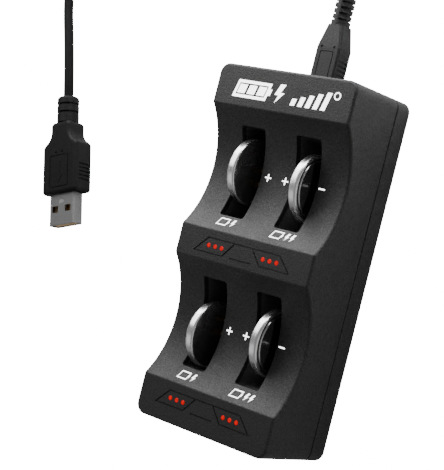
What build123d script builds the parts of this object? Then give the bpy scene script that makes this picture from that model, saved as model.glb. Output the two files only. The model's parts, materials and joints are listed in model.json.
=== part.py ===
from build123d import *
from math import cos, pi, radians, sin, sqrt, tan
import os

# Four-bay coin cell charger with its cells and its USB lead.
# Millimetres. X is the width, +Y points at the USB port, +Z out of the slotted face.
# The origin is on the resting face, under the middle of the casing.

# Casing
WIDTH = 50.4
LENGTH = 107.2
HEIGHT = 28.5
SPLIT_Z = 6.8  # parting line between the two shells
WALL = 2.0
SKIN = 1.8
CORNER = 3.2
RIM_ROUND = 0.8
BASE_ROUND = 0.8
SEAM_CHAMFER = 0.15
SEAM_GAP = 0.55  # shadow line between the shells
SEAM_DEPTH = 0.6
LIP_WALL = 0.9
LIP_RISE = 1.2
REBATE = 1.0
FIT_GAP = 0.1
RIB_PITCH = 30.0  # ribs and board rests along the floor
RIB_WIDTH = 1.2
RIB_RISE = 1.2
REST_RADIUS = 1.6

# Two scoops cross the casing, one for each row of cells
SCOOP_Y = 23.0
SCOOP_RADIUS = 27.0
SCOOP_HALF = 18.4
SCOOP_RISE = sqrt(SCOOP_RADIUS**2 - SCOOP_HALF**2)  # arc centre above the flats

# Slots and their wells
SLOT_X = 10.3
SLOT_Y = 22.9
SLOT_WIDTH = 9.0
SLOT_LENGTH = 27.0
SLOT_CORNER = 0.8
WELL_MARGIN = 0.2
WELL_WALL = 1.1
FLOOR_Z = 8.6
SIDES = (-1, 1)
# Number, side and row of each bay, and how far the cell stands from the bay's middle along Y
BAYS = ((1, -1, 1, 0.8), (2, 1, 1, -0.3), (3, -1, -1, -3.0), (4, 1, -1, 0.1))

# Coin cell, 20 mm across and 3.2 mm thick
CELL_RADIUS = 10.0
CELL_THICKNESS = 3.2
CELL_X = 10.3  # positive face, towards the middle of the casing
CELL_Z = FLOOR_Z + CELL_RADIUS + 0.05
SHEET = 0.25

# Circuit board and what stands on it
BOARD_Z = 6.2
BOARD_THICKNESS = 1.6
BOARD_TOP = BOARD_Z + BOARD_THICKNESS
BOARD_WIDTH = 45.0
BOARD_LENGTH = 101.0
SCREW_X = 19.4
SCREW_Y = 47.0
BOSS_RADIUS = 2.8
SCREW_RADIUS = 0.95
SCREW_HOLE = 1.0
SCREW_CLEARANCE = 1.2
HEAD_RADIUS = 1.9
HEAD_SEAT = 3.0
HEAD_HEIGHT = 1.4
SCREW_LENGTH = 15.0  # under the head
HOLE_DEPTH = 12.0
CROSS_LENGTH = 2.2
CROSS_WIDTH = 0.5
CROSS_DEPTH = 0.8

# Status lights
LED_X = 10.3
LED_ROWS = (-0.2, -46.2)
LED_PITCH = 2.5
LED_RADIUS = 0.65
GUIDE_GAP = 0.03
GUIDE_LIFT = 1.1  # from the board to the foot of the light guides
GUIDE_PROUD = 0.1
GUIDE_BRIDGE = 2.4  # bar that joins the three rods
PANEL_HALF = 2.2  # engraved frames, either side of the lights
PANEL_LINE = 0.4
PANEL_DEPTH = 0.3
PANEL_INNER_X = 3.3
PANEL_OUTER_X = 13.5
PANEL_SLANT = (3.8, 4.4)  # how far the frames lean out, on the inner and the outer side

# USB port and the plug in it
PORT_X = -0.5
PORT_Z = BOARD_TOP + 1.3
PORT_MOUTH = 50.9
PORT_OPENING = (8.4, 3.4)
PORT_SIZE = (7.6, 2.6)
PORT_DEPTH = 5.4
PORT_SHEET = 0.3
PLUG_FACE = LENGTH / 2 + 0.05
PLUG_TIP = 47.0

# Lead
CORD_RADIUS = 1.75
RELIEF_START = 72.0
RELIEF_END = 87.0
COIL_CENTRE = (-88.0, 114.0)
COIL_RADIUS = 19.2  # middle of the turns, which lie side by side in a flat spiral
COIL_HALF_WIDTH = 7.2
COIL_BASE = 0.5
COIL_TOP = 4.1

# USB-A plug, lying flat. Its own frame has y from the metal shell towards the cord.
USB_A_PLACE = Plane(origin=(-102.7, 3.3, 0), x_dir=(0.95, 0.3125, 0), z_dir=(0, 0, 1))
USB_A_AXIS_Z = 4.0
USB_A_WIDTH = 16.7
USB_A_THICKNESS = 8.0
USB_A_LENGTH = 25.8
USB_A_RELIEF = 9.4
USB_A_SHELL = (12.0, 4.5, 11.0)
USB_A_WALL = 0.35

os.makedirs("parts", exist_ok=True)


def save(piece, name):
    """Label a finished piece and write its STEP file."""
    piece.part.label = name
    export_step(piece.part, f"parts/{name}.step")


def casing_outline(depth, end, low_z):
    """Side outline of the casing in Y and Z, moved inside its outer face by depth."""
    top = HEIGHT - depth
    half = sqrt((SCOOP_RADIUS + depth) ** 2 - (SCOOP_RISE + depth) ** 2)
    low = HEIGHT + SCOOP_RISE - SCOOP_RADIUS - depth
    with BuildSketch(Plane.YZ) as outline:
        with BuildLine():
            Polyline((-SCOOP_Y - half, top), (-end, top), (-end, low_z))
            Polyline((-end, low_z), (end, low_z), (end, top), (SCOOP_Y + half, top))
            Line((-SCOOP_Y + half, top), (SCOOP_Y - half, top))
            for side in SIDES:
                y = side * SCOOP_Y
                ThreePointArc((y - half, top), (y, low), (y + half, top))
        make_face()
    return outline.sketch


def plan(inset, z):
    """Plan outline of the casing at height z, inset from its outer face."""
    with BuildSketch(Plane.XY.offset(z)) as outline:
        RectangleRounded(WIDTH - 2 * inset, LENGTH - 2 * inset, max(CORNER - inset, 0.5))
    return outline.sketch


def across_y(x, y, z):
    """Plane across the Y axis, with local x along X and local y along Z."""
    return Plane(origin=(x, y, z), x_dir=(-1, 0, 0), z_dir=(0, 1, 0))


# --- Top shell -----------------------------------------------------------------------------


def light_panel_lines(y):
    """Engraved frames round the two groups of lights, and the line between them."""
    upper, lower = y + PANEL_HALF, y - PANEL_HALF
    inner_lean, outer_lean = PANEL_SLANT
    middle = PANEL_INNER_X + 2 * PANEL_LINE
    with BuildSketch(Plane.XY.offset(HEIGHT)) as lines:
        with BuildLine():
            Line((-PANEL_OUTER_X, upper), (PANEL_OUTER_X, upper))
        trace(line_width=PANEL_LINE)
        with BuildLine():
            Line((-middle, lower), (middle, lower))
        trace(line_width=PANEL_LINE)
        for side in SIDES:
            with BuildLine():
                Polyline(
                    (side * PANEL_INNER_X, upper), (side * (PANEL_INNER_X + inner_lean), lower),
                    (side * (PANEL_OUTER_X + outer_lean), lower), (side * PANEL_OUTER_X, upper),
                )
            trace(line_width=PANEL_LINE)
    return lines.sketch


with BuildPart() as top_shell:
    extrude(casing_outline(0, LENGTH / 2, SPLIT_Z), amount=WIDTH / 2, both=True)
    top_edges = top_shell.edges().filter_by(Axis.X).group_by(Axis.Z)[-1].sort_by(Axis.Y)
    fillet(top_edges[1:-1], RIM_ROUND)
    fillet(top_shell.edges().filter_by(Axis.Z), CORNER)
    fillet(top_shell.edges().filter_by(Axis.X).group_by(Axis.Z)[-1].sort_by(Axis.Y)[-1], RIM_ROUND)
    extrude(
        casing_outline(SKIN, LENGTH / 2 - WALL, SPLIT_Z),
        amount=WIDTH / 2 - WALL, both=True, mode=Mode.SUBTRACT,
    )
    extrude(plan(REBATE, SPLIT_Z), amount=LIP_RISE + 2 * FIT_GAP, mode=Mode.SUBTRACT)
    with BuildSketch(Plane.XY.offset(SPLIT_Z)):
        Rectangle(2 * WIDTH, 2 * LENGTH)
        add(plan(SEAM_DEPTH, SPLIT_Z), mode=Mode.SUBTRACT)
    extrude(amount=SEAM_GAP, mode=Mode.SUBTRACT)
    with BuildSketch(Plane.XY.offset(BOARD_TOP)):
        with GridLocations(2 * SCREW_X, 2 * SCREW_Y, 2, 2):
            Circle(BOSS_RADIUS)
    extrude(amount=HEIGHT - SKIN / 2 - BOARD_TOP)
    with BuildSketch(Plane.XY.offset(BOARD_TOP)):
        with GridLocations(2 * SCREW_X, 2 * SCREW_Y, 2, 2):
            Circle(SCREW_HOLE)
    extrude(amount=HOLE_DEPTH, mode=Mode.SUBTRACT)
    with BuildSketch(Plane.XY.offset(HEIGHT)):
        with GridLocations(2 * SLOT_X, 2 * SLOT_Y, 2, 2):
            RectangleRounded(SLOT_WIDTH, SLOT_LENGTH, SLOT_CORNER)
    extrude(amount=SPLIT_Z + LIP_RISE - HEIGHT, mode=Mode.SUBTRACT)
    with BuildSketch(Plane.XY.offset(HEIGHT)):
        for row_y in LED_ROWS:
            for side in SIDES:
                with Locations((side * LED_X, row_y)):
                    with GridLocations(LED_PITCH, 0, 3, 1):
                        Circle(LED_RADIUS + GUIDE_GAP)
    extrude(amount=-2 * SKIN, mode=Mode.SUBTRACT)
    for row_y in LED_ROWS:
        extrude(light_panel_lines(row_y), amount=-PANEL_DEPTH, mode=Mode.SUBTRACT)
    with BuildSketch(across_y(PORT_X, LENGTH / 2 + 1, PORT_Z)):
        RectangleRounded(*PORT_OPENING, 1.2)
    extrude(amount=-2 * WALL, mode=Mode.SUBTRACT)
save(top_shell, "top_shell")

# --- Bottom shell --------------------------------------------------------------------------

with BuildPart() as bottom_shell:
    extrude(plan(0, 0), amount=SPLIT_Z)
    fillet(bottom_shell.faces().sort_by(Axis.Z)[0].edges(), BASE_ROUND)
    chamfer(bottom_shell.faces().sort_by(Axis.Z)[-1].edges(), SEAM_CHAMFER)
    extrude(plan(REBATE + FIT_GAP, SPLIT_Z - SEAM_CHAMFER), amount=LIP_RISE + SEAM_CHAMFER)
    extrude(plan(REBATE + FIT_GAP + LIP_WALL, SKIN), amount=LENGTH, mode=Mode.SUBTRACT)
    with BuildSketch(Plane.XY.offset(SKIN / 2)):
        with GridLocations(2 * SCREW_X, 2 * SCREW_Y, 2, 2):
            Circle(BOSS_RADIUS)
    extrude(amount=BOARD_Z - SKIN / 2)
    # Ribs across the floor, and the rests under the board between the screws
    with BuildSketch(Plane.XY.offset(SKIN / 2)):
        with GridLocations(0, RIB_PITCH, 1, 3):
            Rectangle(WIDTH - 2 * WALL, RIB_WIDTH)
    extrude(amount=SKIN / 2 + RIB_RISE)
    with BuildSketch(Plane.XY.offset(SKIN / 2)):
        with GridLocations(2 * SCREW_X, RIB_PITCH, 2, 3):
            Circle(REST_RADIUS)
    extrude(amount=BOARD_Z - SKIN / 2)
    with BuildSketch():
        with GridLocations(2 * SCREW_X, 2 * SCREW_Y, 2, 2):
            Circle(SCREW_CLEARANCE)
    extrude(amount=SPLIT_Z, mode=Mode.SUBTRACT)
    with BuildSketch():
        with GridLocations(2 * SCREW_X, 2 * SCREW_Y, 2, 2):
            Circle(HEAD_RADIUS + 2 * FIT_GAP)
    extrude(amount=HEAD_SEAT, mode=Mode.SUBTRACT)
    # The lip stops short of the USB port
    with BuildSketch(Plane.XY.offset(SPLIT_Z)):
        with Locations((PORT_X, LENGTH / 2 - WALL)):
            Rectangle(10.4, 2 * WALL)
    extrude(amount=2 * LIP_RISE, mode=Mode.SUBTRACT)
save(bottom_shell, "bottom_shell")

with BuildPart() as case_screws:
    with BuildSketch(Plane.XY.offset(HEAD_SEAT - HEAD_HEIGHT)):
        with GridLocations(2 * SCREW_X, 2 * SCREW_Y, 2, 2):
            Circle(HEAD_RADIUS)
    extrude(amount=HEAD_HEIGHT)
    chamfer(case_screws.faces().group_by(Axis.Z)[0].edges(), 0.4)
    with BuildSketch(Plane.XY.offset(HEAD_SEAT)):
        with GridLocations(2 * SCREW_X, 2 * SCREW_Y, 2, 2):
            Circle(SCREW_RADIUS)
    extrude(amount=SCREW_LENGTH)
    with BuildSketch(Plane.XY.offset(HEAD_SEAT - HEAD_HEIGHT)):
        with GridLocations(2 * SCREW_X, 2 * SCREW_Y, 2, 2):
            Rectangle(CROSS_LENGTH, CROSS_WIDTH)
            Rectangle(CROSS_WIDTH, CROSS_LENGTH)
    extrude(amount=CROSS_DEPTH, mode=Mode.SUBTRACT)
save(case_screws, "case_screws")

# --- Cell cradles: one under each scoop, with two wells ------------------------------------

well_length = SLOT_LENGTH + 2 * WELL_MARGIN
well_width = SLOT_WIDTH + 2 * WELL_MARGIN
cradle_base = BOARD_TOP + FIT_GAP
CRADLE_RIB_PITCH = 18.0
CRADLE_RIB_RISE = 9.0
WINDOW_X = (7.4, 13.7)
WINDOW_SIZE = (2.8, 6.4)
for row, row_name in ((1, "upper"), (-1, "lower")):
    row_y = row * SLOT_Y
    with BuildPart() as cradle:
        with BuildSketch(Plane.XY.offset(cradle_base)):
            for side in SIDES:
                with Locations((side * SLOT_X, row_y)):
                    Rectangle(well_width + 2 * WELL_WALL, well_length + 2 * WELL_WALL)
        extrude(amount=HEIGHT - cradle_base)
        extrude(
            casing_outline(SKIN + FIT_GAP, LENGTH / 2, cradle_base),
            amount=WIDTH / 2, both=True, mode=Mode.INTERSECT,
        )
        with BuildSketch(Plane.XY.offset(FLOOR_Z)):
            for side in SIDES:
                with Locations((side * SLOT_X, row_y)):
                    RectangleRounded(well_width, well_length, SLOT_CORNER)
        extrude(amount=HEIGHT, mode=Mode.SUBTRACT)
        # Web and ribs that join the two wells
        with BuildSketch(Plane.XY.offset(cradle_base)):
            with Locations((0, row_y)):
                Rectangle(2 * (SLOT_X - well_width / 2), well_length + 2 * WELL_WALL)
        extrude(amount=FLOOR_Z - cradle_base)
        with BuildSketch(Plane.XY.offset(cradle_base)):
            with Locations((0, row_y)):
                with GridLocations(0, CRADLE_RIB_PITCH, 1, 2):
                    Rectangle(2 * (SLOT_X - well_width / 2 - WELL_WALL), RIB_WIDTH)
        extrude(amount=CRADLE_RIB_RISE)
        # Windows in the floor for the feet of the contacts
        with BuildSketch(Plane.XY.offset(cradle_base)):
            for side in SIDES:
                with Locations(*[(side * x, row_y) for x in WINDOW_X]):
                    Rectangle(*WINDOW_SIZE)
        extrude(amount=FLOOR_Z - cradle_base, mode=Mode.SUBTRACT)
    save(cradle, f"{row_name}_cell_cradle")

# --- Contacts ------------------------------------------------------------------------------

LEAF = 0.3
SPRING_TOUCH_Z = 14.6
SPRING_TIP_Z = 17.8
SPRING_BEND_Z = 9.6
SPRING_FORK_Z = 10.4
SPRING_WIDTH = 5.8
SPRING_DOME = (0.8, 0.75)  # radius and height
PRONG_Y = 2.0
STRIP_X = 14.75
STRIP_WIDTH = 5.0
STRIP_RISE = 10.5
STRIP_FOOT = 2.3
STRIP_DOME = (1.4, 1.2)
STRIP_TOUCH_Z = 15.5


def dome(base, direction, radius, height):
    """Rounded button that stands on a point of a contact and points along X."""
    with BuildPart() as button:
        with BuildSketch(Plane(origin=base, z_dir=(direction, 0, 0))):
            Circle(radius)
        extrude(amount=height)
        tip = button.faces().filter_by(Axis.X).sort_by(Axis.X)[-1 if direction > 0 else 0]
        fillet(tip.edges(), 0.6 * radius)
    return button.part


for number, side, row, _ in BAYS:
    bay_y = row * SLOT_Y
    inner_wall = SLOT_X - SLOT_WIDTH / 2

    # Forked leaf spring: its foot is soldered to the board and two domes press on the cell
    with BuildPart() as plus_spring:
        with BuildSketch(Plane.XZ.offset(-(bay_y + SPRING_WIDTH / 2))):
            with BuildLine():
                FilletPolyline(
                    (side * (inner_wall + 2.6), BOARD_TOP + LEAF / 2),
                    (side * (inner_wall + 0.6), BOARD_TOP + LEAF / 2),
                    (side * (inner_wall + 0.6), SPRING_BEND_Z),
                    (side * (inner_wall + 4.1), SPRING_TOUCH_Z),
                    (side * (inner_wall + 2.2), SPRING_TIP_Z),
                    radius=[0.5, 1.0, 1.2],
                )
            trace(line_width=LEAF)
        extrude(amount=SPRING_WIDTH)
        with BuildSketch(Plane.XY.offset(SPRING_FORK_Z)):
            with Locations((side * CELL_X, bay_y)):
                Rectangle(2 * CELL_X, SPRING_WIDTH - 3.6)
        extrude(amount=HEIGHT, mode=Mode.SUBTRACT)
        for prong in SIDES:
            base = (side * (CELL_X - 0.8), bay_y + PRONG_Y * prong, SPRING_TOUCH_Z)
            add(dome(base, side, *SPRING_DOME))
    save(plus_spring, f"plus_spring_{number}")

    # Fixed strip with one dome, against the outer side of the well
    with BuildPart() as minus_contact:
        with BuildSketch(Plane.XY.offset(BOARD_TOP)):
            with Locations((side * STRIP_X, bay_y)):
                Rectangle(LEAF, STRIP_WIDTH)
        extrude(amount=STRIP_RISE)
        with BuildSketch(Plane.XY.offset(BOARD_TOP)):
            with Locations((side * (STRIP_X + (LEAF - STRIP_FOOT) / 2), bay_y)):
                Rectangle(STRIP_FOOT, STRIP_WIDTH)
        extrude(amount=LEAF)
        add(dome((side * STRIP_X, bay_y, STRIP_TOUCH_Z), -side, *STRIP_DOME))
    save(minus_contact, f"minus_contact_{number}")

# --- Coin cells ----------------------------------------------------------------------------


def cell_piece(side, y, outline):
    """Solid of revolution about the cell's axis. outline draws depth from the plus face, radius."""
    centre = (side * CELL_X, y, CELL_Z)
    with BuildPart() as piece:
        with BuildSketch(Plane(origin=centre, x_dir=(side, 0, 0), z_dir=(0, -side, 0))):
            with BuildLine():
                outline()
            make_face()
        revolve(axis=Axis(centre, (side, 0, 0)))
    return piece


CRIMP = 0.8  # outside radius of the can's rolled edge
CRIMP_X = 2.05
CRIMP_R = CELL_RADIUS - CRIMP
FACE_ROUND = 0.6


def can_outline():
    inner = CELL_RADIUS - SHEET
    diagonal = cos(pi / 4)
    Line((0, 0), (0, CELL_RADIUS - FACE_ROUND))
    RadiusArc((0, CELL_RADIUS - FACE_ROUND), (FACE_ROUND, CELL_RADIUS), FACE_ROUND)
    Line((FACE_ROUND, CELL_RADIUS), (CRIMP_X, CELL_RADIUS))
    ThreePointArc(
        (CRIMP_X, CELL_RADIUS),
        (CRIMP_X + CRIMP * diagonal, CRIMP_R + CRIMP * diagonal),
        (CRIMP_X + CRIMP, CRIMP_R),
    )
    Line((CRIMP_X + CRIMP, CRIMP_R), (CRIMP_X + CRIMP - SHEET, CRIMP_R))
    bend = CRIMP - SHEET
    ThreePointArc(
        (CRIMP_X + bend, CRIMP_R),
        (CRIMP_X + bend * diagonal, CRIMP_R + bend * diagonal),
        (CRIMP_X, inner),
    )
    Polyline((CRIMP_X, inner), (FACE_ROUND, inner), (SHEET, inner - 0.35), (SHEET, 0), (0, 0))


def gasket_outline():
    bend = CRIMP - SHEET - 0.03
    diagonal = cos(pi / 4)
    Polyline((0.5, 9.4), (0.6, 9.7), (CRIMP_X, CRIMP_R + bend))
    ThreePointArc(
        (CRIMP_X, CRIMP_R + bend),
        (CRIMP_X + bend * diagonal, CRIMP_R + bend * diagonal),
        (CRIMP_X + bend, CRIMP_R),
    )
    Polyline(
        (CRIMP_X + bend, CRIMP_R), (2.78, CRIMP_R - 0.03), (2.78, 8.98),
        (2.2, 8.98), (2.2, 9.4), (0.5, 9.4),
    )


def cap_outline():
    Line((CELL_THICKNESS, 0), (CELL_THICKNESS, 8.3))
    RadiusArc((CELL_THICKNESS, 8.3), (CELL_THICKNESS - 0.45, 8.75), -0.45)
    Polyline(
        (CELL_THICKNESS - 0.45, 8.75), (2.18, 8.75), (2.18, 9.37), (0.55, 9.37), (0.55, 9.12),
        (1.93, 9.12), (1.93, 8.5), (2.75, 8.5), (2.95, 8.3), (2.95, 0), (CELL_THICKNESS, 0),
    )


def core_outline():
    Polyline((0.3, 0), (0.3, 8.4), (2.7, 8.4), (2.9, 8.2), (2.9, 0), (0.3, 0))


for number, side, row, shift in BAYS:
    cell_y = row * SLOT_Y + shift
    save(cell_piece(side, cell_y, can_outline), f"cell_{number}_can")
    save(cell_piece(side, cell_y, gasket_outline), f"cell_{number}_gasket")
    save(cell_piece(side, cell_y, cap_outline), f"cell_{number}_cap")
    save(cell_piece(side, cell_y, core_outline), f"cell_{number}_core")

# --- Circuit board -------------------------------------------------------------------------

with BuildPart() as circuit_board:
    with BuildSketch(Plane.XY.offset(BOARD_Z)):
        RectangleRounded(BOARD_WIDTH, BOARD_LENGTH, 1.0)
        with GridLocations(2 * SCREW_X, 2 * SCREW_Y, 2, 2):
            Circle(SCREW_CLEARANCE, mode=Mode.SUBTRACT)
    extrude(amount=BOARD_THICKNESS)
save(circuit_board, "circuit_board")

CONTROLLER_SPOTS = ((-9, 45), (-19, 4), (19, 4), (0, -43))
with BuildPart() as charge_controllers:
    with BuildSketch(Plane.XY.offset(BOARD_TOP + 0.1)):
        with Locations(*CONTROLLER_SPOTS):
            Rectangle(4.0, 5.0)
    extrude(amount=1.5)
    with BuildSketch(Plane.XY.offset(BOARD_TOP)):
        with Locations(*CONTROLLER_SPOTS):
            with GridLocations(0, 1.27, 1, 4):
                Rectangle(6.0, 0.4)
    extrude(amount=0.2)
save(charge_controllers, "charge_controllers")

with BuildPart() as board_capacitors:
    with BuildSketch(Plane.XY.offset(BOARD_TOP)):
        with Locations((8, 45), (-19, -4), (19, -4), (5, -43)):
            with GridLocations(0, 2.6, 1, 3):
                Rectangle(2.0, 1.25)
    extrude(amount=1.2)
save(board_capacitors, "board_capacitors")

with BuildPart() as status_leds:
    with BuildSketch(Plane.XY.offset(BOARD_TOP)):
        for row_y in LED_ROWS:
            for side in SIDES:
                with Locations((side * LED_X, row_y)):
                    with GridLocations(LED_PITCH, 0, 3, 1):
                        Rectangle(0.8, 1.6)
    extrude(amount=0.8)
save(status_leds, "status_leds")

# Light guides: three rods each, from above the lights to the face of the panel
guide_number = 0
for row_y in LED_ROWS:
    for side in SIDES:
        guide_number += 1
        with BuildPart() as light_guide:
            with BuildSketch(Plane.XY.offset(BOARD_TOP + GUIDE_LIFT)):
                with Locations((side * LED_X, row_y)):
                    with GridLocations(LED_PITCH, 0, 3, 1):
                        Circle(LED_RADIUS)
            extrude(amount=HEIGHT + GUIDE_PROUD - BOARD_TOP - GUIDE_LIFT)
            chamfer(light_guide.edges().group_by(Axis.Z)[-1], 0.15)
            with BuildSketch(Plane.XY.offset(HEIGHT - SKIN - 0.05)):
                with Locations((side * LED_X, row_y)):
                    Rectangle(2 * LED_PITCH + GUIDE_BRIDGE, GUIDE_BRIDGE)
            extrude(amount=-GUIDE_BRIDGE / 2)
        save(light_guide, f"light_guide_{guide_number}")

# --- USB port ------------------------------------------------------------------------------

with BuildPart() as usb_port_shell:
    with BuildSketch(across_y(PORT_X, PORT_MOUTH, PORT_Z)):
        RectangleRounded(*PORT_SIZE, 0.6)
    extrude(amount=-PORT_DEPTH)
    with BuildSketch(across_y(PORT_X, PORT_MOUTH, PORT_Z)):
        RectangleRounded(*[size - 2 * PORT_SHEET for size in PORT_SIZE], 0.4)
    extrude(amount=PORT_SHEET - PORT_DEPTH, mode=Mode.SUBTRACT)
save(usb_port_shell, "usb_port_shell")

with BuildPart() as usb_port_tongue:
    with BuildSketch(across_y(PORT_X, PORT_MOUTH - 0.9, PORT_Z + 0.3)):
        Rectangle(3.6, 0.5)
    extrude(amount=-4.2)
save(usb_port_tongue, "usb_port_tongue")

# --- Lead: plug in the port ----------------------------------------------------------------

with BuildPart() as micro_plug_shell:
    with BuildSketch(across_y(PORT_X, PLUG_FACE, PORT_Z)):
        RectangleRounded(6.85, 1.8, 0.5)
        RectangleRounded(6.35, 1.3, 0.3, mode=Mode.SUBTRACT)
    extrude(amount=PLUG_TIP - PLUG_FACE)
save(micro_plug_shell, "micro_plug_shell")

with BuildPart() as micro_plug_insulator:
    with BuildSketch(across_y(PORT_X, PLUG_FACE, PORT_Z)):
        RectangleRounded(6.3, 1.26, 0.3)
    extrude(amount=-2.6)
    with BuildSketch(across_y(PORT_X, PLUG_FACE, PORT_Z - 0.4)):
        Rectangle(5.6, 0.4)
    extrude(amount=PLUG_TIP + 0.2 - PLUG_FACE)
save(micro_plug_insulator, "micro_plug_insulator")

MICRO_WIDTH = 8.6
MICRO_THICKNESS = 6.4
MICRO_SHOULDER = 65.0
NECK = 5.6
with BuildPart() as micro_plug_body:
    with BuildSketch(across_y(PORT_X, PLUG_FACE, PORT_Z)):
        RectangleRounded(MICRO_WIDTH, MICRO_THICKNESS, 0.7)
    extrude(amount=MICRO_SHOULDER - PLUG_FACE)
    with BuildSketch(across_y(PORT_X, MICRO_SHOULDER, PORT_Z)):
        RectangleRounded(MICRO_WIDTH, MICRO_THICKNESS, 0.7)
    with BuildSketch(across_y(PORT_X, RELIEF_START, PORT_Z)):
        RectangleRounded(NECK, NECK, 1.2)
    loft()
    # Label frame and two dots on the top, grip ribs on the sides
    with BuildSketch(Plane.XY.offset(PORT_Z + MICRO_THICKNESS / 2)):
        with Locations((PORT_X, 59.4)):
            RectangleRounded(4.9, 8.8, 0.5)
            RectangleRounded(4.4, 8.3, 0.3, mode=Mode.SUBTRACT)
        with Locations((PORT_X, 65.0)):
            with GridLocations(4.6, 0, 2, 1):
                Circle(0.42)
    extrude(amount=-0.3, mode=Mode.SUBTRACT)
    with Locations((PORT_X, 58.6, PORT_Z)):
        with GridLocations(MICRO_WIDTH, 1.3, 2, 5):
            Box(0.6, 0.5, MICRO_THICKNESS - 2.4, mode=Mode.SUBTRACT)
save(micro_plug_body, "micro_plug_body")

RIB_RADIUS = 2.9
with BuildPart() as micro_strain_relief:
    with BuildSketch(across_y(PORT_X, RELIEF_START, PORT_Z)):
        Circle(RIB_RADIUS)
    extrude(amount=RELIEF_END - RELIEF_START)
    fillet(micro_strain_relief.edges().sort_by(Axis.Y)[-1], 0.6)
    # Ring slots with a spine left along the top and the bottom
    slot_planes = [across_y(PORT_X, RELIEF_START + 1.4 + 1.75 * k, PORT_Z) for k in range(7)]
    with BuildSketch(*slot_planes):
        Circle(RIB_RADIUS + 0.2)
        Circle(RIB_RADIUS - 0.65, mode=Mode.SUBTRACT)
        Rectangle(1.3, 3 * RIB_RADIUS, mode=Mode.SUBTRACT)
    extrude(amount=0.7, mode=Mode.SUBTRACT)
save(micro_strain_relief, "micro_strain_relief")

# --- Lead: cord ----------------------------------------------------------------------------


def cord_tube(points):
    """Tube along straight runs joined by arcs as large as the shorter run of each corner allows."""
    spots = [Vector(*point) for point in points]
    runs = [b - a for a, b in zip(spots, spots[1:])]
    bends = []
    for before, after in zip(runs, runs[1:]):
        turn = radians(before.get_angle(after))
        bends.append(0.45 * min(before.length, after.length) / tan(turn / 2))
    with BuildPart() as tube:
        with BuildLine() as path:
            FilletPolyline(*points, radius=bends)
        with BuildSketch(Plane(origin=points[0], z_dir=runs[0])):
            Circle(CORD_RADIUS)
        sweep(path=path.wires()[0])
    return tube


def usb_a_point(y, z):
    """Point on the axis of the USB-A plug, y from its metal shell, at height z."""
    spot = USB_A_PLACE.from_local_coords(Vector(0, y, z))
    return (spot.X, spot.Y, spot.Z)


cord_to_port = cord_tube([
    (PORT_X, RELIEF_END, PORT_Z),
    (PORT_X, 94.0, PORT_Z),
    (-1.0, 104.5, 5.4),
    (-5.0, 118.5, 1.75),
    (-17.5, 132.0, 1.75),
    (-38.0, 140.3, 1.75),
    (-65.0, 142.2, 1.75),
    (-91.4, 139.0, 2.25),
])
save(cord_to_port, "cord_to_port")

cord_to_plug = cord_tube([
    (-97.7, 123.7, 4.8),
    (-103.4, 118.0, 6.4),
    (-112.0, 110.6, 6.4),
    (-121.4, 103.2, 3.6),
    (-128.6, 94.0, 1.75),
    (-131.2, 82.0, 1.75),
    (-128.2, 69.5, 1.8),
    (-121.8, 56.8, 3.0),
    usb_a_point(43.2, USB_A_AXIS_Z),
    usb_a_point(USB_A_LENGTH + USB_A_RELIEF, USB_A_AXIS_Z),
])
save(cord_to_plug, "cord_to_plug")

with BuildPart() as cord_coil:
    with BuildSketch(Plane.XY.offset(COIL_BASE)):
        with Locations(COIL_CENTRE):
            Circle(COIL_RADIUS + COIL_HALF_WIDTH)
            Circle(COIL_RADIUS - COIL_HALF_WIDTH, mode=Mode.SUBTRACT)
    extrude(amount=COIL_TOP - COIL_BASE)
    fillet(cord_coil.edges().filter_by(GeomType.CIRCLE), 1.5)
save(cord_coil, "cord_coil")

TIE_ANGLE = -40.0
TIE_WIDTH = 5.0
tie_out = Vector(cos(radians(TIE_ANGLE)), sin(radians(TIE_ANGLE)), 0)
tie_centre = Vector(*COIL_CENTRE, (COIL_BASE + COIL_TOP) / 2) + tie_out * COIL_RADIUS
tie_along = Vector(-tie_out.Y, tie_out.X, 0)
with BuildPart() as coil_tie:
    with BuildSketch(Plane(origin=tie_centre, x_dir=tie_out, z_dir=tie_along)):
        RectangleRounded(2 * COIL_HALF_WIDTH + 1.8, COIL_TOP + COIL_BASE, 1.6)
        RectangleRounded(2 * COIL_HALF_WIDTH + 0.8, COIL_TOP - COIL_BASE + 0.02, 1.1, mode=Mode.SUBTRACT)
    extrude(amount=TIE_WIDTH / 2, both=True)
save(coil_tie, "coil_tie")

# --- Lead: USB-A plug ----------------------------------------------------------------------

shell_width, shell_height, shell_length = USB_A_SHELL


def usb_a_section(y, z):
    """Plane across the USB-A plug at its own y, centred at height z."""
    return Plane(origin=usb_a_point(y, z), x_dir=-USB_A_PLACE.x_dir, z_dir=USB_A_PLACE.y_dir)


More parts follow.
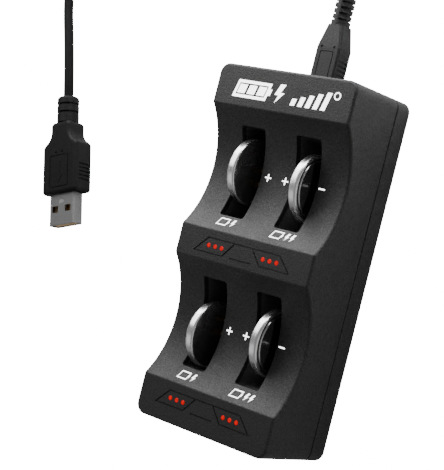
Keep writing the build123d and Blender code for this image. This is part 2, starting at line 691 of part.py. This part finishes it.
SHELL_INSIDE = 5.0  # length of the metal shell held by the moulding
NECK_HALF = 4.65
NECK_START = 22.4
SHOULDER_HALF = 7.1
SHOULDER_START = 18.4
FRAME_DEPTH = 0.25
GRIP_Z = 1.6  # end of the grip ribs above the lower face
with BuildPart() as usb_a_body:
    with BuildSketch(USB_A_PLACE):
        with BuildLine():
            half = USB_A_WIDTH / 2
            for side in SIDES:
                neck = side * NECK_HALF
                shoulder = (side * SHOULDER_HALF, SHOULDER_START)
                Line((neck, USB_A_LENGTH), (neck, NECK_START))
                TangentArc((neck, NECK_START), shoulder, tangent=(0, -1))
                Polyline(shoulder, (side * half, SHOULDER_START - 1.1), (side * half, 0))
            Line((-NECK_HALF, USB_A_LENGTH), (NECK_HALF, USB_A_LENGTH))
            Line((-half, 0), (half, 0))
        make_face()
    extrude(amount=USB_A_THICKNESS)
    upright = usb_a_body.edges().filter_by(Axis.Z)
    fillet(upright.filter_by(lambda e: abs(USB_A_PLACE.to_local_coords(e @ 0).X) > half - 0.1), 1.3)
    neck_end = USB_A_LENGTH - 0.1
    upright = usb_a_body.edges().filter_by(Axis.Z)
    fillet(upright.filter_by(lambda e: USB_A_PLACE.to_local_coords(e @ 0).Y > neck_end), 1.6)
    fillet(usb_a_body.faces().sort_by(Axis.Z)[-1].edges(), 1.2)
    fillet(usb_a_body.faces().sort_by(Axis.Z)[0].edges(), 1.2)
    # Socket that holds the metal shell and its insulator
    with BuildSketch(usb_a_section(0, USB_A_AXIS_Z)):
        Rectangle(shell_width + 0.04, shell_height + 0.04)
    extrude(amount=SHELL_INSIDE + 0.02, mode=Mode.SUBTRACT)
    # Label frame and two dots on both faces, grip ribs on the sides
    for face_z, into in ((USB_A_THICKNESS, -1), (0, 1)):
        with BuildSketch(USB_A_PLACE.offset(face_z)):
            with Locations((0, 7.9)):
                RectangleRounded(9.0, 11.6, 1.0)
                RectangleRounded(8.4, 11.0, 0.7, mode=Mode.SUBTRACT)
            with Locations((-1.45, 14.6), (1.45, 14.6)):
                Circle(0.42)
        extrude(amount=FRAME_DEPTH * into, mode=Mode.SUBTRACT)
    with BuildSketch(USB_A_PLACE.offset(GRIP_Z)):
        with Locations((0, 7.0)):
            with GridLocations(USB_A_WIDTH, 1.35, 2, 5):
                Rectangle(0.8, 0.6)
    extrude(amount=USB_A_THICKNESS - 2 * GRIP_Z, mode=Mode.SUBTRACT)
save(usb_a_body, "usb_a_body")

with BuildPart() as usb_a_strain_relief:
    with BuildSketch(usb_a_section(USB_A_LENGTH, USB_A_AXIS_Z)):
        Circle(3.85)
    extrude(amount=USB_A_RELIEF)
    far_face = usb_a_strain_relief.faces().sort_by(Axis.Y)[-1]
    fillet(far_face.edges(), 1.0)
    with BuildSketch(*[usb_a_section(USB_A_LENGTH + y, USB_A_AXIS_Z) for y in (3.2, 6.1)]):
        Circle(4.0)
        Circle(3.25, mode=Mode.SUBTRACT)
    extrude(amount=0.75, mode=Mode.SUBTRACT)
save(usb_a_strain_relief, "usb_a_strain_relief")

inner_width = shell_width - 2 * USB_A_WALL
inner_height = shell_height - 2 * USB_A_WALL
with BuildPart() as usb_a_shell:
    with BuildSketch(usb_a_section(-shell_length, USB_A_AXIS_Z)):
        RectangleRounded(shell_width, shell_height, 0.6)
        RectangleRounded(inner_width, inner_height, 0.3, mode=Mode.SUBTRACT)
    extrude(amount=shell_length + SHELL_INSIDE)
    with BuildSketch(USB_A_PLACE):
        with Locations((-3.1, -5.35), (3.1, -5.35)):
            RectangleRounded(2.8, 2.3, 0.3)
    extrude(amount=USB_A_THICKNESS, mode=Mode.SUBTRACT)
    # Oval dimple punched between the windows and the moulding
    with BuildSketch(USB_A_PLACE.offset(USB_A_AXIS_Z + shell_height / 2)):
        with Locations((0, -2.7)):
            Ellipse(1.35, 0.75)
            Ellipse(1.1, 0.5, mode=Mode.SUBTRACT)
    extrude(amount=-0.12, mode=Mode.SUBTRACT)
save(usb_a_shell, "usb_a_shell")

inner_floor = USB_A_AXIS_Z - inner_height / 2
with BuildPart() as usb_a_insulator:
    with BuildSketch(usb_a_section(-shell_length + 0.4, inner_floor + 0.97)):
        RectangleRounded(inner_width - 0.04, 1.9, 0.3)
    extrude(amount=shell_length + SHELL_INSIDE - 0.4)
    with BuildSketch(usb_a_section(-0.5, USB_A_AXIS_Z)):
        RectangleRounded(inner_width - 0.04, inner_height - 0.04, 0.3)
    extrude(amount=SHELL_INSIDE + 0.5)
save(usb_a_insulator, "usb_a_insulator")

with BuildPart() as usb_a_contacts:
    with BuildSketch(USB_A_PLACE.offset(inner_floor + 1.93)):
        with Locations((-3.5, -5.6), (3.5, -5.6)):
            Rectangle(1.2, 8.6)
        with Locations((-1.0, -5.1), (1.0, -5.1)):
            Rectangle(1.0, 7.6)
    extrude(amount=0.2)
save(usb_a_contacts, "usb_a_contacts")
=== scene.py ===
import json
from math import cos, pi, radians, sin, sqrt

import bmesh
import bpy
from mathutils import Matrix, Vector


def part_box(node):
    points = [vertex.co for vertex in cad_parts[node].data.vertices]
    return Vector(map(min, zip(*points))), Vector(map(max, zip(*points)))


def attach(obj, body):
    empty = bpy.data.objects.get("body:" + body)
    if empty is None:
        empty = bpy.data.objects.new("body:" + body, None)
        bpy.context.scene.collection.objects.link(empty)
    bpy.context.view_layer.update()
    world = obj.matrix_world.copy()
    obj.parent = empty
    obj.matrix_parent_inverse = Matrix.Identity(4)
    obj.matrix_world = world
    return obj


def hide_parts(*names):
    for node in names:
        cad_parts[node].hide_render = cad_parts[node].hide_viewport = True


# Looks of a four-bay coin cell charger with its cells and its USB lead.
# Blender works in metres. Sizes marked mm are in millimetres, and MM turns them into metres.
MM = 0.001

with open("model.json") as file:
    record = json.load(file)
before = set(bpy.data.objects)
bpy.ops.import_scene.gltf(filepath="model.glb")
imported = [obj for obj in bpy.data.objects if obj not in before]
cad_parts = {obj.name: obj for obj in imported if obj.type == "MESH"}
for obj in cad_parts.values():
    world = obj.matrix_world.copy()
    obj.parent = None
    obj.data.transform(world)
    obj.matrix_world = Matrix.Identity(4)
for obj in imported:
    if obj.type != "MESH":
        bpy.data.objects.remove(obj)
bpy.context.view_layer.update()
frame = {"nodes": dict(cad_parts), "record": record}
nodes = frame["nodes"]

# --- Camera --------------------------------------------------------------------------------

CAMERA_PLACE = (0.234467, 0.007004, 0.319353)
CAMERA_RIGHT = (0.742432, 0.244049, -0.623887)
CAMERA_UP = (-0.192793, 0.969721, 0.149905)
CAMERA_BACK = (0.641581, 0.008987, 0.767003)
CAMERA_LENS = 100.28  # on a 36 mm sensor

camera_data = bpy.data.cameras.new("camera")
camera_data.lens = CAMERA_LENS
camera = bpy.data.objects.new("camera", camera_data)
bpy.context.scene.collection.objects.link(camera)
camera.matrix_world = Matrix.Translation(CAMERA_PLACE) @ Matrix(
    (CAMERA_RIGHT, CAMERA_UP, CAMERA_BACK)
).transposed().to_4x4()
bpy.context.scene.camera = camera

# --- Finishes ------------------------------------------------------------------------------


class Finish:
    """A node material, with the few texture steps that every finish here is made of."""

    def __init__(self, name):
        self.material = bpy.data.materials.new(name)
        self.material.use_nodes = True
        self.tree = self.material.node_tree
        self.surface = self.tree.nodes["Principled BSDF"]
        self.place = self.node("ShaderNodeTexCoord").outputs["Object"]

    def node(self, kind, **settings):
        made = self.tree.nodes.new(kind)
        for name, value in settings.items():
            setattr(made, name, value)
        return made

    def link(self, source, target):
        self.tree.links.new(source, target)

    def set(self, **values):
        """Set inputs of the surface, such as roughness=0.4 or base_color=(r, g, b)."""
        for name, value in values.items():
            wanted = name.replace("_", " ").lower()
            for socket in self.surface.inputs:
                if socket.name.lower() == wanted:
                    is_colour = socket.type == "RGBA"
                    socket.default_value = (*value, 1) if is_colour else value

    def noise(self, size, detail=2.0, stretch=(1, 1, 1)):
        """Noise with features of about that size in mm, drawn out along the axes that stretch says."""
        mapping = self.node("ShaderNodeMapping")
        mapping.inputs["Scale"].default_value = [1 / (size * MM * s) for s in stretch]
        self.link(self.place, mapping.inputs["Vector"])
        texture = self.node("ShaderNodeTexNoise")
        texture.inputs["Scale"].default_value = 1
        texture.inputs["Detail"].default_value = detail
        self.link(mapping.outputs["Vector"], texture.inputs["Vector"])
        return texture.outputs["Fac"]

    def pits(self, size):
        """Small round pits and grains of about that size in mm."""
        texture = self.node("ShaderNodeTexVoronoi", feature="SMOOTH_F1")
        texture.inputs["Scale"].default_value = 1 / (size * MM)
        self.link(self.place, texture.inputs["Vector"])
        return texture.outputs["Distance"]

    def span(self, source, low, high):
        """source from 0.3 to 0.7, where noise mostly lies, stretched to low and high."""
        ranged = self.node("ShaderNodeMapRange")
        ranged.inputs["From Min"].default_value = 0.3
        ranged.inputs["From Max"].default_value = 0.7
        ranged.inputs["To Min"].default_value = low
        ranged.inputs["To Max"].default_value = high
        self.link(source, ranged.inputs["Value"])
        return ranged.outputs["Result"]

    def tint(self, source, dark, light):
        """Base colour between dark and light."""
        mix = self.node("ShaderNodeMix", data_type="RGBA")
        mix.inputs["A"].default_value = (*dark, 1)
        mix.inputs["B"].default_value = (*light, 1)
        self.link(self.span(source, 0, 1), mix.inputs["Factor"])
        self.link(mix.outputs["Result"], self.surface.inputs["Base Color"])

    def rough(self, source, low, high):
        self.link(self.span(source, low, high), self.surface.inputs["Roughness"])

    def relief(self, *layers):
        """Bump from layers of (height, strength, depth in mm), each on top of the last."""
        normal = None
        for height, strength, depth in layers:
            bump = self.node("ShaderNodeBump")
            bump.inputs["Strength"].default_value = strength
            bump.inputs["Distance"].default_value = depth * MM
            self.link(height, bump.inputs["Height"])
            if normal is not None:
                self.link(normal, bump.inputs["Normal"])
            normal = bump.outputs["Normal"]
        self.link(normal, self.surface.inputs["Normal"])


def grey(value):
    return (value, value, value)


def grained_plastic(name, shade, roughness, grain, depth, gloss=0.5):
    """Black moulded plastic with a spark-eroded grain, grain and depth in mm."""
    finish = Finish(name)
    fine = finish.noise(grain, detail=3)
    broad = finish.noise(9.0)
    finish.tint(fine, grey(0.7 * shade), grey(1.4 * shade))
    finish.rough(broad, roughness - 0.04, roughness + 0.04)
    finish.relief((finish.pits(1.3 * grain), 0.8, depth), (fine, 0.9, depth))
    finish.link(finish.span(fine, 0.6 * gloss, 1.4 * gloss), finish.surface.inputs["Specular IOR Level"])
    return finish.material


def smooth_plastic(name, shade, roughness, gloss=0.5):
    """Plain moulded plastic with faint flow marks."""
    finish = Finish(name)
    flow = finish.noise(3.0, stretch=(1, 3, 1))
    finish.tint(flow, grey(0.85 * shade), grey(1.15 * shade))
    finish.rough(finish.noise(1.2), roughness - 0.05, roughness + 0.05)
    finish.relief((finish.noise(0.4), 0.25, 0.01))
    finish.set(specular_ior_level=gloss)
    return finish.material


def coloured(name, dark, light, roughness, size, glow=0.0):
    """Something mottled between two colours, with spots of that size in mm. glow is painted light: an
    emission that only camera rays see, which makes ink brighter than the lamps make it.
    """
    finish = Finish(name)
    spots = finish.noise(size, detail=3)
    finish.tint(spots, dark, light)
    finish.rough(spots, roughness - 0.06, roughness + 0.06)
    finish.relief((spots, 0.3, 0.02))
    if glow:
        # Painted light: the ink glows for camera rays only, so it looks brighter than its lighting makes
        # it.
        finish.set(emission_color=light)
        painted_ink_glow = finish.node("ShaderNodeMath", operation="MULTIPLY")
        finish.link(finish.span(spots, 0.9 * glow, glow), painted_ink_glow.inputs[0])
        finish.link(finish.node("ShaderNodeLightPath").outputs["Is Camera Ray"], painted_ink_glow.inputs[1])
        finish.link(painted_ink_glow.outputs["Value"], finish.surface.inputs["Emission Strength"])
    return finish.material


def metal(name, dark, light, roughness, size, stretch, depth):
    """Metal with drawn or rolled streaks: size in mm and the stretch of each axis."""
    finish = Finish(name)
    streaks = finish.noise(size, detail=4, stretch=stretch)
    finish.tint(streaks, dark, light)
    finish.rough(streaks, roughness - 0.05, roughness + 0.06)
    finish.relief((streaks, 0.3, depth))
    finish.set(metallic=1.0)
    return finish.material


def lit_red():
    """Clear light guide, lit red and a little brighter in its grain."""
    finish = Finish("light_red")
    glow = finish.noise(0.5)
    finish.tint(glow, (0.2, 0.0, 0.0), (0.3, 0.0, 0.0))
    finish.rough(glow, 0.25, 0.4)
    finish.set(emission_color=(1.0, 0.0, 0.0), specular_ior_level=0.1)
    finish.link(finish.span(glow, 0.5, 0.75), finish.surface.inputs["Emission Strength"])
    return finish.material


ROUND_X = (1, 50, 50)
EVEN = (1, 1, 1)
FINISHES = {
    "casing_plastic": grained_plastic("casing_plastic", 0.010, 0.5, 0.32, 0.08, gloss=0.4),
    "cradle_plastic": grained_plastic("cradle_plastic", 0.05, 0.6, 0.3, 0.02),
    "screw_steel": metal("screw_steel", grey(0.45), grey(0.6), 0.3, 0.3, EVEN, 0.01),
    "board_laminate": coloured("board_laminate", (0.004, 0.05, 0.02), (0.008, 0.09, 0.035), 0.35, 1.5),
    "chip_epoxy": smooth_plastic("chip_epoxy", 0.02, 0.5),
    "capacitor_ceramic": coloured("capacitor_ceramic", (0.3, 0.2, 0.12), (0.42, 0.3, 0.2), 0.5, 0.4),
    "led_body": coloured("led_body", (0.6, 0.5, 0.35), (0.8, 0.75, 0.6), 0.3, 0.6),
    "light_red": lit_red(),
    "port_steel": metal("port_steel", grey(0.45), grey(0.6), 0.28, 0.3, EVEN, 0.01),
    "port_plastic": smooth_plastic("port_plastic", 0.02, 0.45),
    "contact_bronze": metal("contact_bronze", (0.12, 0.085, 0.05), (0.2, 0.14, 0.08), 0.4, 0.2, EVEN, 0.01),
    "cell_steel": metal("cell_steel", grey(0.68), grey(0.72), 0.25, 0.6, ROUND_X, 0.0002),
    "cell_cap_steel": metal("cell_cap_steel", grey(0.38), grey(0.42), 0.18, 0.6, ROUND_X, 0.0002),
    "gasket_plastic": smooth_plastic("gasket_plastic", 0.02, 0.5),
    "cell_core": coloured("cell_core", grey(0.02), grey(0.05), 0.7, 0.3),
    "lead_moulding": grained_plastic("lead_moulding", 0.005, 0.5, 0.22, 0.02, gloss=0.12),
    "plug_moulding": grained_plastic("plug_moulding", 0.010, 0.5, 0.3, 0.03, gloss=0.28),
    "cord_jacket": smooth_plastic("cord_jacket", 0.004, 0.55, gloss=0.06),
    "tie_plastic": smooth_plastic("tie_plastic", 0.01, 0.5, gloss=0.2),
    "plug_steel": metal("plug_steel", grey(0.13), grey(0.3), 0.5, 0.25, EVEN, 0.03),
    "plug_insulator": coloured("plug_insulator", (0.5, 0.34, 0.16), (0.62, 0.44, 0.22), 0.5, 0.5),
    "contact_gold": metal("contact_gold", (0.6, 0.32, 0.06), (0.8, 0.46, 0.1), 0.3, 0.3, EVEN, 0.005),
    # The print ink's glow is painted light: a camera-only emission that brightens the white print.
    "print_ink": coloured("print_ink", grey(0.8), grey(0.9), 0.55, 0.15, glow=4.5),
}

for subpart in frame["record"]["subparts"]:
    mesh = nodes[subpart["node"]].data
    mesh.materials.clear()
    mesh.materials.append(FINISHES[subpart["material_slot"]])

# --- Cord ----------------------------------------------------------------------------------

# The lead's route in mm: from the plug in the port, into the coil, and on to the USB-A plug.
TO_COIL = [
    (-0.5, 87.0, 9.1),
    (-0.5, 94.0, 9.1),
    (-1.0, 104.5, 5.4),
    (-5.0, 118.5, 1.75),
    (-17.5, 132.0, 1.75),
    (-38.0, 140.3, 1.75),
    (-65.0, 142.2, 1.75),
    (-91.4, 139.0, 2.25),
]
TO_PLUG = [
    (-97.7, 123.7, 4.8),
    (-103.4, 118.0, 6.4),
    (-112.0, 110.6, 6.4),
    (-121.4, 103.2, 3.6),
    (-128.6, 94.0, 1.75),
    (-131.2, 82.0, 1.75),
    (-128.2, 69.5, 1.8),
    (-121.8, 56.8, 3.0),
    (-116.2, 44.3, 4.0),
    (-113.7, 36.7, 4.0),
]
CORD_DIAMETER = 3.5

# The coil is a flat spiral that starts at its outer turn and ends at its inner one
COIL_CENTRE = Vector((-88.0, 114.0, 2.25))
COIL_OUTER = 24.65
COIL_INNER = 13.72
COIL_START = radians(98)
COIL_SWEEP = radians(3 * 360 + 37)
COIL_STEPS = 50
COIL_LAST_RISE = 0.6


def coil_points():
    """Control points of the coil's turns, which stand a little outside the line they draw."""
    step = COIL_SWEEP / COIL_STEPS
    points = []
    for k in range(1, COIL_STEPS):
        angle = COIL_START + k * step
        radius = COIL_OUTER + (COIL_INNER - COIL_OUTER) * k / COIL_STEPS
        reach = radius / cos(step / 2)
        points.append(COIL_CENTRE + reach * Vector((cos(angle), sin(angle), 0)))
    points[-1].z += COIL_LAST_RISE
    return points


def cord_curve(name, points, diameter):
    """Round cord along one open NURBS spline."""
    curve = bpy.data.curves.new(name, "CURVE")
    curve.dimensions = "3D"
    curve.bevel_depth = diameter / 2 * MM
    curve.bevel_resolution = 6
    curve.use_fill_caps = True
    curve.resolution_u = 8
    spline = curve.splines.new("NURBS")
    spline.points.add(len(points) - 1)
    for spot, point in zip(spline.points, points):
        spot.co = (*(Vector(point) * MM), 1)
    spline.order_u = 3
    spline.use_endpoint_u = True
    made = bpy.data.objects.new(name, curve)
    bpy.context.scene.collection.objects.link(made)
    return made


cord = cord_curve("usb_cord", TO_COIL + coil_points() + TO_PLUG, CORD_DIAMETER)
cord.data.materials.append(FINISHES["cord_jacket"])
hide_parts("cord_to_port", "cord_coil", "cord_to_plug")
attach(cord, "lead")

# --- Printed marks -------------------------------------------------------------------------

# The slotted face, in mm: flat at its top, with two round scoops across it
FACE_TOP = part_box("top_shell")[1].z / MM
SCOOP_Y = 23.0
SCOOP_RADIUS = 27.0
SCOOP_HALF = 18.4
SCOOP_RISE = sqrt(SCOOP_RADIUS**2 - SCOOP_HALF**2)
PRINT_PROUD = 0.03
PRINT_DEPTH = 0.12
PRINT_STEP = 0.5
SLANT = 0.28


def face_height(y):
    """Height of the slotted face at y."""
    across = abs(abs(y) - SCOOP_Y)
    if across >= SCOOP_HALF:
        return FACE_TOP
    return FACE_TOP + SCOOP_RISE - sqrt(SCOOP_RADIUS**2 - across**2)


def flat_height(z):
    """Height function of a level face."""
    return lambda y: z


def printed(name, outlines, height, body, slot, proud=PRINT_PROUD, place=None):
    """Thin closed piece laid on a face: outlines are closed lists of (x, y) in mm."""
    mesh = bmesh.new()
    for outline in outlines:
        mesh.faces.new([mesh.verts.new((x, y, 0)) for x, y in outline]).normal_update()
    bmesh.ops.triangulate(mesh, faces=mesh.faces[:])
    low = min(v.co.y for v in mesh.verts)
    high = max(v.co.y for v in mesh.verts)
    for k in range(1, int((high - low) / PRINT_STEP) + 1):
        geometry = mesh.verts[:] + mesh.edges[:] + mesh.faces[:]
        cut = (0, low + k * PRINT_STEP, 0)
        bmesh.ops.bisect_plane(mesh, geom=geometry, plane_co=cut, plane_no=(0, 1, 0))
    for vert in mesh.verts:
        vert.co.z = height(vert.co.y) + proud
    made = bmesh.ops.extrude_face_region(mesh, geom=mesh.faces[:], use_keep_orig=True)
    for item in made["geom"]:
        if isinstance(item, bmesh.types.BMVert):
            item.co.z -= PRINT_DEPTH
    bmesh.ops.recalc_face_normals(mesh, faces=mesh.faces[:])
    bmesh.ops.transform(mesh, matrix=Matrix.Scale(MM, 4), verts=mesh.verts[:])
    if place is not None:
        bmesh.ops.transform(mesh, matrix=place, verts=mesh.verts[:])
    data = bpy.data.meshes.new(name)
    mesh.to_mesh(data)
    mesh.free()
    data.materials.append(FINISHES[slot])
    piece = bpy.data.objects.new(name, data)
    bpy.context.scene.collection.objects.link(piece)
    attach(piece, body)
    return piece


def bar(x, y, width, height, slant=SLANT):
    """Bar with its lower left corner at x, y, leaning to the right."""
    lean = slant * height
    return [(x, y), (x + width, y), (x + width + lean, y + height), (x + lean, y + height)]


def plus_sign(x, y, size, stroke):
    """Plus sign about x, y."""
    a, b = size / 2, stroke / 2
    corners = [(a, b), (b, b), (b, a), (-b, a), (-b, b), (-a, b)]
    return [(x + u, y + v) for u, v in corners] + [(x - u, y - v) for u, v in corners]


def bolt(x, y, size):
    """Lightning bolt with its lower left corner at x, y."""
    corners = [(0.1, 0), (0.62, 0.56), (0.36, 0.56), (0.62, 1), (0.28, 1), (0, 0.42), (0.26, 0.42)]
    return [(x + u * size, y + v * size) for u, v in corners]


def ring_parts(x, y, outer, inner, count=24):
    """Ring as a row of small four-sided parts."""
    rim = [(cos(2 * pi * k / count), sin(2 * pi * k / count)) for k in range(count + 1)]
    return [
        [(x + r * u, y + r * v) for r, (u, v) in ((outer, a), (outer, b), (inner, b), (inner, a))]
        for a, b in zip(rim, rim[1:])
    ]


def battery(x, y, width, height, wall, charge):
    """Leaning battery outline with its cells of charge, from its lower left corner."""
    lean = SLANT * height
    inner_height = height - 2 * wall
    parts = [
        bar(x, y, width, wall),
        bar(x + lean - SLANT * wall, y + height - wall, width, wall),
        bar(x + SLANT * wall, y + wall, wall, inner_height),
        bar(x + width - wall + SLANT * wall, y + wall, wall, inner_height),
        bar(x + width + SLANT * height * 0.32, y + height * 0.32, wall, height * 0.36),
    ]
    room = (width - 2 * wall) / 3
    for k in range(charge):
        inset = 0.5 * wall
        left = x + wall + k * room + inset + SLANT * (wall + inset)
        parts.append(bar(left, y + wall + inset, room - 2 * inset, inner_height - 2 * inset))
    return parts


ROWS = (("upper", 1), ("lower", -1))
SIDES = (("left", -1), ("right", 1))
POLE_SIZE = 2.2
POLE_STROKE = 0.4
PLUS_X = 3.2
MINUS_X = 16.5
for row_name, row in ROWS:
    for side_name, side in SIDES:
        label = f"{row_name}_{side_name}"
        sign = plus_sign(side * PLUS_X, row * SCOOP_Y, POLE_SIZE, POLE_STROKE)
        printed(f"plus_print_{label}", [sign], face_height, "charger", "print_ink")
        left = side * MINUS_X - POLE_SIZE / 2
        sign = bar(left, row * SCOOP_Y - POLE_STROKE / 2, POLE_SIZE, POLE_STROKE, slant=0)
        printed(f"minus_print_{label}", [sign], face_height, "charger", "print_ink")

# Below each slot a small battery, with one bolt on the left and two on the right
RATING_Y = {"upper": 6.4, "lower": -39.9}
RATING_X = {"left": -13.6, "right": 6.7}
RATING_HEIGHT = 2.2
RATING_WIDTH = 3.6
RATING_WALL = 0.27
BOLT_START = 5.1
BOLT_PITCH = 1.9
for row_name, _ in ROWS:
    for (side_name, _), bolts in zip(SIDES, (1, 2)):
        x, y = RATING_X[side_name], RATING_Y[row_name]
        parts = battery(x, y, RATING_WIDTH, RATING_HEIGHT, RATING_WALL, 0)
        for k in range(bolts):
            parts.append(bolt(x + BOLT_START + BOLT_PITCH * k, y, RATING_HEIGHT))
        printed(f"rating_print_{row_name}_{side_name}", parts, face_height, "charger", "print_ink")

# Plain charging emblem on the top panel: battery, bolt, rising bars and a small ring
EMBLEM_Y = 44.0
BAR_START = 3.6
BAR_PITCH = 2.7
BAR_WIDTH = 1.6
BAR_HEIGHTS = (2.0, 2.8, 3.6, 4.4, 5.2)
emblem = battery(-18.2, EMBLEM_Y, 12.6, 5.2, 0.85, 3) + [bolt(-2.6, EMBLEM_Y - 0.1, 5.6)]
for k, bar_height in enumerate(BAR_HEIGHTS):
    emblem.append(bar(BAR_START + BAR_PITCH * k, EMBLEM_Y, BAR_WIDTH, bar_height))
emblem += ring_parts(19.3, EMBLEM_Y + 4.6, 1.15, 0.8)
printed("panel_emblem", emblem, flat_height(FACE_TOP), "charger", "print_ink")

# On the USB-A plug, whose own y runs from its metal shell to the cord: a raised arrow in the label
# frame, which points at the shell, and the polished dimple of the shell
PLUG_SIDEWAYS = Vector((0.95, 0.3125, 0)).normalized()
PLUG_PLACE = Matrix.Translation(Vector((-102.7, 3.3, 0)) * MM) @ Matrix(
    (PLUG_SIDEWAYS, (-PLUG_SIDEWAYS.y, PLUG_SIDEWAYS.x, 0), (0, 0, 1))
).transposed().to_4x4()
MOULDING_TOP = 8.0
SHELL_TOP = 6.25
arrow = [(-0.5, 11.4), (-0.5, 6.6), (-1.8, 6.6), (0, 3.9), (1.8, 6.6), (0.5, 6.6), (0.5, 11.4)]
height = flat_height(MOULDING_TOP)
printed("usb_a_arrow", [arrow], height, "lead", "lead_moulding", proud=0.1, place=PLUG_PLACE)
DIMPLE_STEPS = 32
DIMPLE_Y = -2.7
turns = [2 * pi * k / DIMPLE_STEPS for k in range(DIMPLE_STEPS)]
dimple = [(1.3 * cos(turn), 0.7 * sin(turn) + DIMPLE_Y) for turn in turns]
height = flat_height(SHELL_TOP)
printed("usb_a_dimple", [dimple], height, "lead", "cell_steel", proud=0.02, place=PLUG_PLACE)

# --- Floor and lights ----------------------------------------------------------------------

FLOOR_HALF = 2.0
FLOOR_GLOW = 18.0


def floor_finish():
    """White sweep that stays white behind the object and lights it as plain white paper does."""
    finish = Finish("floor_white")
    finish.tint(finish.noise(40.0), grey(0.82), grey(0.86))
    finish.set(roughness=0.9, specular_ior_level=0.0)
    glow = finish.node("ShaderNodeEmission")
    glow.inputs["Strength"].default_value = FLOOR_GLOW
    seen = finish.node("ShaderNodeLightPath").outputs["Is Camera Ray"]
    both = finish.node("ShaderNodeAddShader")
    mix = finish.node("ShaderNodeMixShader")
    finish.link(finish.surface.outputs["BSDF"], both.inputs[0])
    finish.link(glow.outputs["Emission"], both.inputs[1])
    finish.link(seen, mix.inputs["Fac"])
    finish.link(finish.surface.outputs["BSDF"], mix.inputs[1])
    finish.link(both.outputs["Shader"], mix.inputs[2])
    output = finish.tree.nodes["Material Output"]
    finish.link(mix.outputs["Shader"], output.inputs["Surface"])
    return finish.material


floor_mesh = bpy.data.meshes.new("floor")
floor_corners = [(x * FLOOR_HALF, y * FLOOR_HALF, 0) for x, y in ((-1, -1), (1, -1), (1, 1), (-1, 1))]
floor_mesh.from_pydata(floor_corners, [], [(0, 1, 2, 3)])
floor_mesh.materials.append(floor_finish())
floor = bpy.data.objects.new("floor", floor_mesh)
bpy.context.scene.collection.objects.link(floor)


def softbox(name, direction, distance, width, height, radiance):
    """Rectangular light that looks at the object from a direction, with an even radiance."""
    light = bpy.data.lights.new(name, "AREA")
    light.shape = "RECTANGLE"
    light.size = width
    light.size_y = height
    light.energy = radiance * pi * width * height
    made = bpy.data.objects.new(name, light)
    towards = Vector(direction).normalized()
    made.location = towards * distance
    made.rotation_euler = towards.to_track_quat("Z", "Y").to_euler()
    bpy.context.scene.collection.objects.link(made)
    return made


softbox("key_softbox", (-0.16, 0.91, 0.36), 0.22, 0.36, 0.1, 9.0)
softbox("left_softbox", (-0.6, 0.5, 0.64), 0.32, 0.24, 0.15, 4.6)
softbox("low_softbox", (-0.64, -0.45, 0.62), 1.1, 0.4, 0.5, 0.7)
softbox("right_softbox", (0.86, -0.3, 0.3), 0.9, 0.9, 0.3, 0.7)

world = bpy.data.worlds.new("studio")
world.use_nodes = True
world.node_tree.nodes["Background"].inputs["Color"].default_value = (1, 1, 1, 1)
world.node_tree.nodes["Background"].inputs["Strength"].default_value = 0.3
bpy.context.scene.world = world
